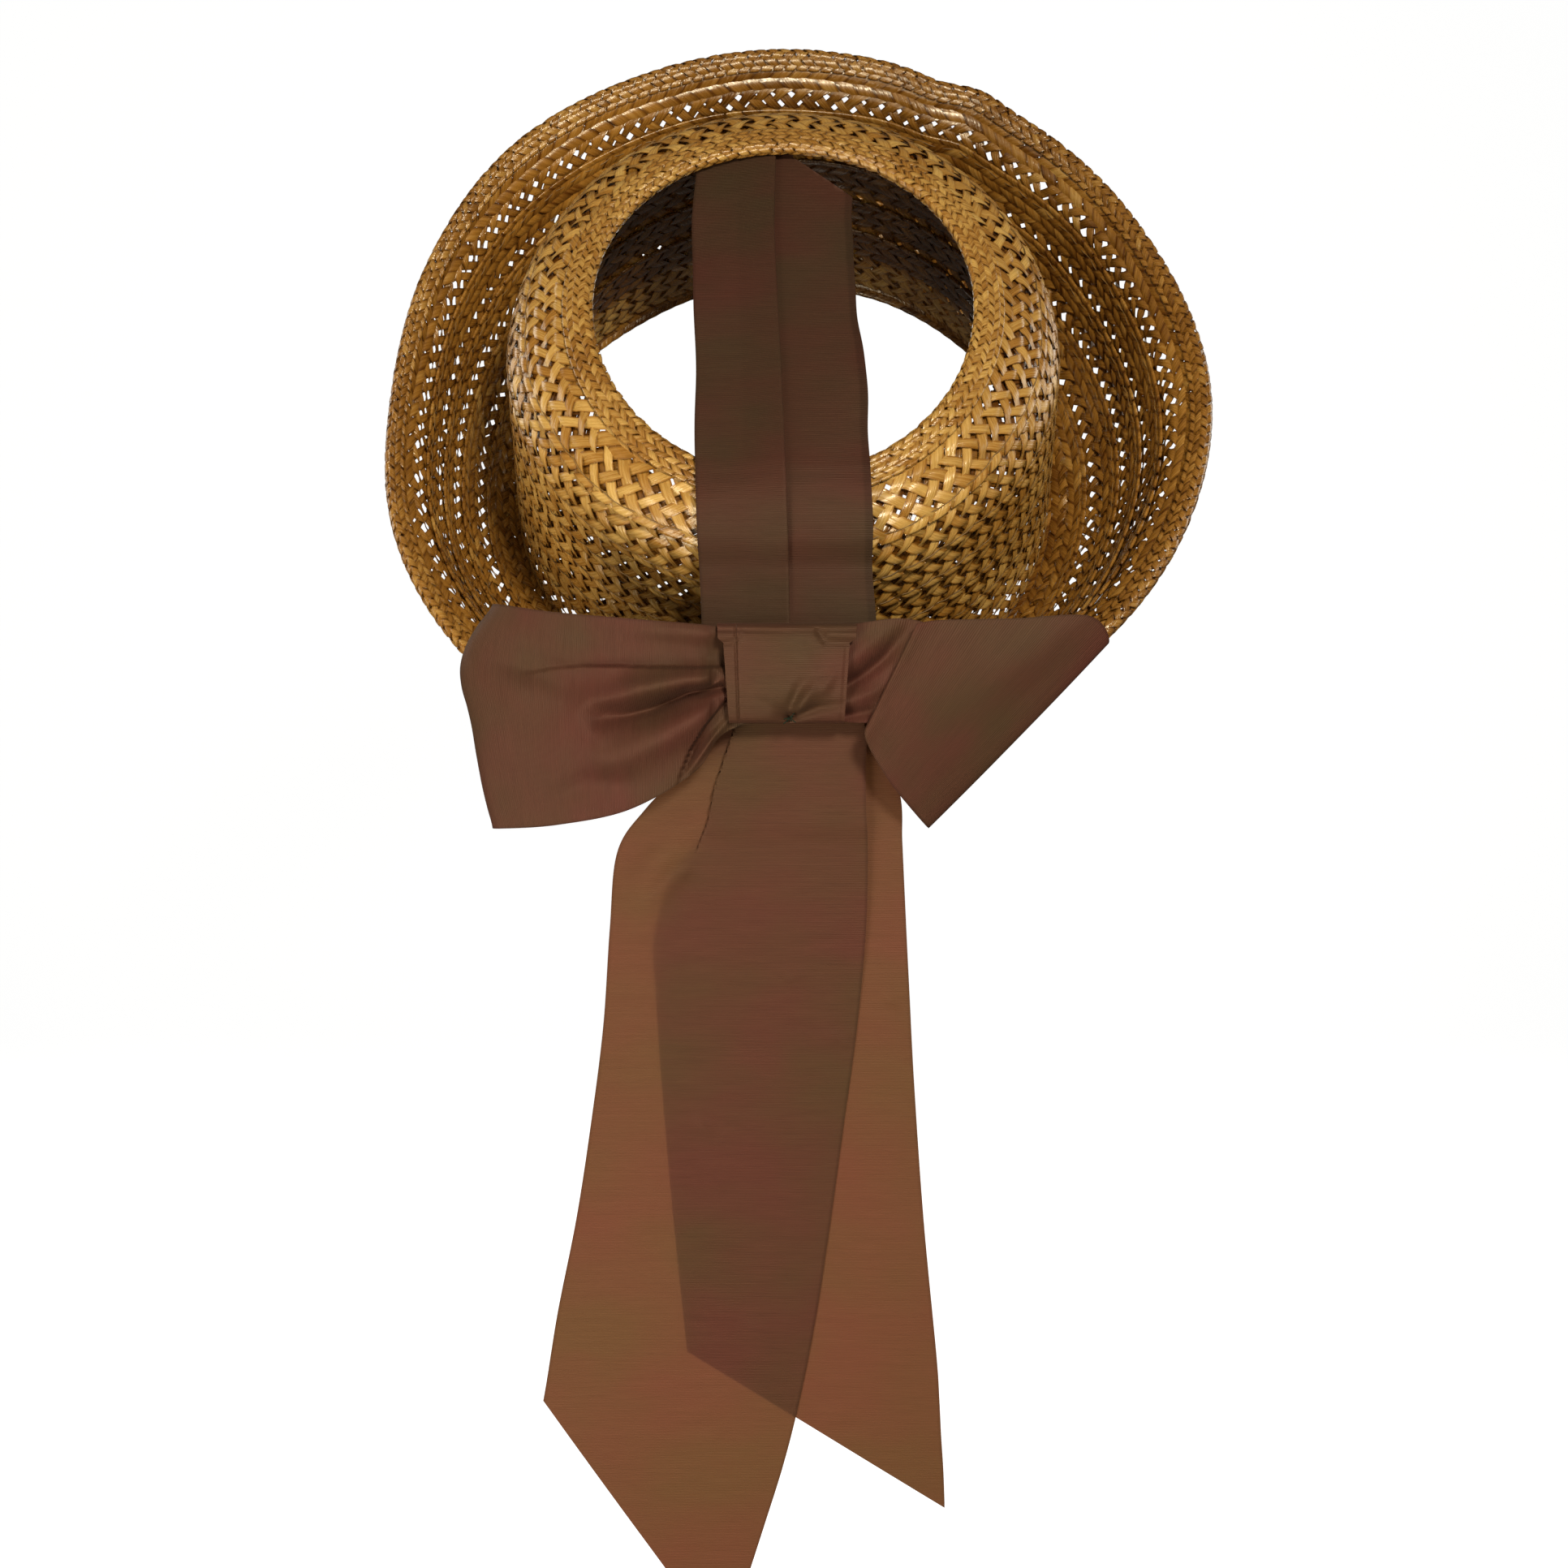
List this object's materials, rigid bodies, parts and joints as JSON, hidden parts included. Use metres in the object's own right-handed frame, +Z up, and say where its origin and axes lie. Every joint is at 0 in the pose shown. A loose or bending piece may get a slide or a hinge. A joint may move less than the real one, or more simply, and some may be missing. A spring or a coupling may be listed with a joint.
{
  "type": "straw hat with an open crown, rolled-up brim and ribbon bow",
  "caption": "Golden plaited-straw hat with an open crown and turned-up brim, a brown ribbon strip over the top and a bow with long tails behind.",
  "frame": {"origin": "middle of the head opening, where the hat sits on a head", "axes": "+Z up as worn, +Y the way the wearer looks, +X the wearer's right; the hat's own axis leans back 58.5 degrees and the ribbon tails hang along -Z at the back"},
  "size_m": [0.2621, 0.1957, 0.4979],
  "materials": {
    "straw": "satin plaited straw",
    "straw_edge": "satin folded straw plait",
    "ribbon": "fine cross-ribbed ribbon, slight sheen",
    "ribbon_tail": "fine cross-ribbed ribbon, slightly see-through",
    "thread": "thin sewing thread"
  },
  "bodies": {
    "root": {"crown": "straw", "crown_edge": "straw_edge", "brim": "straw", "brim_edge": "straw_edge", "crown_ribbon": "ribbon", "bow_knot": "ribbon", "bow_loop_left": "ribbon", "bow_loop_right": "ribbon", "tail_front": "ribbon_tail", "tail_back": "ribbon_tail"}
  },
  "joints": []
}
